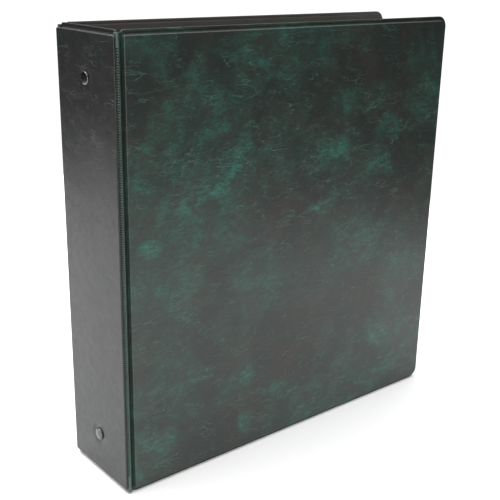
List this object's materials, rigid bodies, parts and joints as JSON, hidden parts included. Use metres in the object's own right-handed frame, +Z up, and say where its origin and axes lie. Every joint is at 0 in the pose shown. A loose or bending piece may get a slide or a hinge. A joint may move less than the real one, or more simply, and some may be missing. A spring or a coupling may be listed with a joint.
{
  "type": "stamp album",
  "caption": "Ring-bound stamp album with stiff leatherette covers, opening rings worked by end levers, and punched black stock leaves.",
  "frame": {"origin": "middle of the footprint of the closed album, on the surface that it stands on", "axes": "+Z up along the spine, +X from the spine to the covers' free edges, +Y from the front cover to the back cover"},
  "size_m": [0.2902, 0.07, 0.298],
  "materials": {
    "vinyl": "satin embossed vinyl, dark grey-brown marbled with green",
    "hinge": "satin ribbed vinyl weld, dark green",
    "liner": "satin black vinyl",
    "board": "plain grey-brown chipboard",
    "steel": "zinc-plated spring steel",
    "chrome": "polished nickel plate",
    "rivet": "dark burnished nickel",
    "leaf": "matt black card"
  },
  "bodies": {
    "spine": {"spine_skin": "vinyl", "spine_board": "board", "spine_liner": "liner", "front_hinge": "hinge", "back_hinge": "hinge", "ring_plate": "chrome", "rivet_top": "rivet", "rivet_bottom": "rivet", "rivet_collar_top": "steel", "rivet_collar_bottom": "steel", "trigger_pin_top": "steel", "trigger_pin_bottom": "steel"},
    "front_cover": {"front_cover_skin": "vinyl", "front_cover_board": "board", "front_cover_liner": "liner"},
    "back_cover": {"back_cover_skin": "vinyl", "back_cover_board": "board", "back_cover_liner": "liner"},
    "front_blade": {"front_blade": "steel", "front_ring_bottom": "chrome", "front_ring_middle": "chrome", "front_ring_top": "chrome"},
    "back_blade": {"back_blade": "steel", "back_ring_bottom": "chrome", "back_ring_middle": "chrome", "back_ring_top": "chrome"},
    "trigger_bottom": {"trigger_bottom": "chrome"},
    "trigger_top": {"trigger_top": "chrome"},
    "leaf_1": {"leaf_1": "leaf"},
    "leaf_2": {"leaf_2": "leaf"},
    "leaf_3": {"leaf_3": "leaf"},
    "leaf_4": {"leaf_4": "leaf"},
    "leaf_5": {"leaf_5": "leaf"},
    "leaf_6": {"leaf_6": "leaf"},
    "leaf_7": {"leaf_7": "leaf"},
    "leaf_8": {"leaf_8": "leaf"}
  },
  "joints": [
    {"name": "front_cover_hinge", "type": "hinge", "parent": "spine", "child": "front_cover", "pos_m": [-0.14155, -0.0326, 0.149], "axis": [0, 0, -1], "range_deg": [0, 175]},
    {"name": "back_cover_hinge", "type": "hinge", "parent": "spine", "child": "back_cover", "pos_m": [-0.14155, 0.0326, 0.149], "axis": [0, 0, 1], "range_deg": [0, 175]},
    {"name": "rings_open_front", "type": "hinge", "parent": "spine", "child": "front_blade", "pos_m": [-0.13655, -0.0122, 0.149], "axis": [0, 0, -1], "range_deg": [0, 8]},
    {"name": "rings_open_back", "type": "hinge", "parent": "spine", "child": "back_blade", "pos_m": [-0.13655, 0.0122, 0.149], "axis": [0, 0, 1], "range_deg": [0, 8]},
    {"name": "trigger_top_press", "type": "hinge", "parent": "spine", "child": "trigger_top", "pos_m": [-0.13735, 0, 0.281], "axis": [0, -1, 0], "range_deg": [0, 12]},
    {"name": "trigger_bottom_press", "type": "hinge", "parent": "spine", "child": "trigger_bottom", "pos_m": [-0.13735, 0, 0.017], "axis": [0, 1, 0], "range_deg": [0, 12]},
    {"name": "leaf_1_turn", "type": "hinge", "parent": "spine", "child": "leaf_1", "pos_m": [-0.107, 0, 0.149], "axis": [0, 0, -1], "range_deg": [0, 4]},
    {"name": "leaf_2_turn", "type": "hinge", "parent": "spine", "child": "leaf_2", "pos_m": [-0.107, 0, 0.149], "axis": [0, 0, -1], "range_deg": [0, 3]},
    {"name": "leaf_3_turn", "type": "hinge", "parent": "spine", "child": "leaf_3", "pos_m": [-0.107, 0, 0.149], "axis": [0, 0, -1], "range_deg": [0, 2]},
    {"name": "leaf_4_turn", "type": "hinge", "parent": "spine", "child": "leaf_4", "pos_m": [-0.107, 0, 0.149], "axis": [0, 0, -1], "range_deg": [0, 1]},
    {"name": "leaf_5_turn", "type": "hinge", "parent": "spine", "child": "leaf_5", "pos_m": [-0.107, 0, 0.149], "axis": [0, 0, 1], "range_deg": [0, 1]},
    {"name": "leaf_6_turn", "type": "hinge", "parent": "spine", "child": "leaf_6", "pos_m": [-0.107, 0, 0.149], "axis": [0, 0, 1], "range_deg": [0, 2]},
    {"name": "leaf_7_turn", "type": "hinge", "parent": "spine", "child": "leaf_7", "pos_m": [-0.107, 0, 0.149], "axis": [0, 0, 1], "range_deg": [0, 3]},
    {"name": "leaf_8_turn", "type": "hinge", "parent": "spine", "child": "leaf_8", "pos_m": [-0.107, 0, 0.149], "axis": [0, 0, 1], "range_deg": [0, 4]}
  ],
  "couplings": [
    {"joint": "rings_open_back", "follows": "rings_open_front", "ratio": 1},
    {"joint": "trigger_top_press", "follows": "rings_open_front", "ratio": 1.5},
    {"joint": "trigger_bottom_press", "follows": "rings_open_front", "ratio": 1.5},
    {"joint": "leaf_2_turn", "follows": "leaf_1_turn", "ratio": 0.75},
    {"joint": "leaf_3_turn", "follows": "leaf_1_turn", "ratio": 0.5},
    {"joint": "leaf_4_turn", "follows": "leaf_1_turn", "ratio": 0.25},
    {"joint": "leaf_5_turn", "follows": "leaf_8_turn", "ratio": 0.25},
    {"joint": "leaf_6_turn", "follows": "leaf_8_turn", "ratio": 0.5},
    {"joint": "leaf_7_turn", "follows": "leaf_8_turn", "ratio": 0.75}
  ]
}
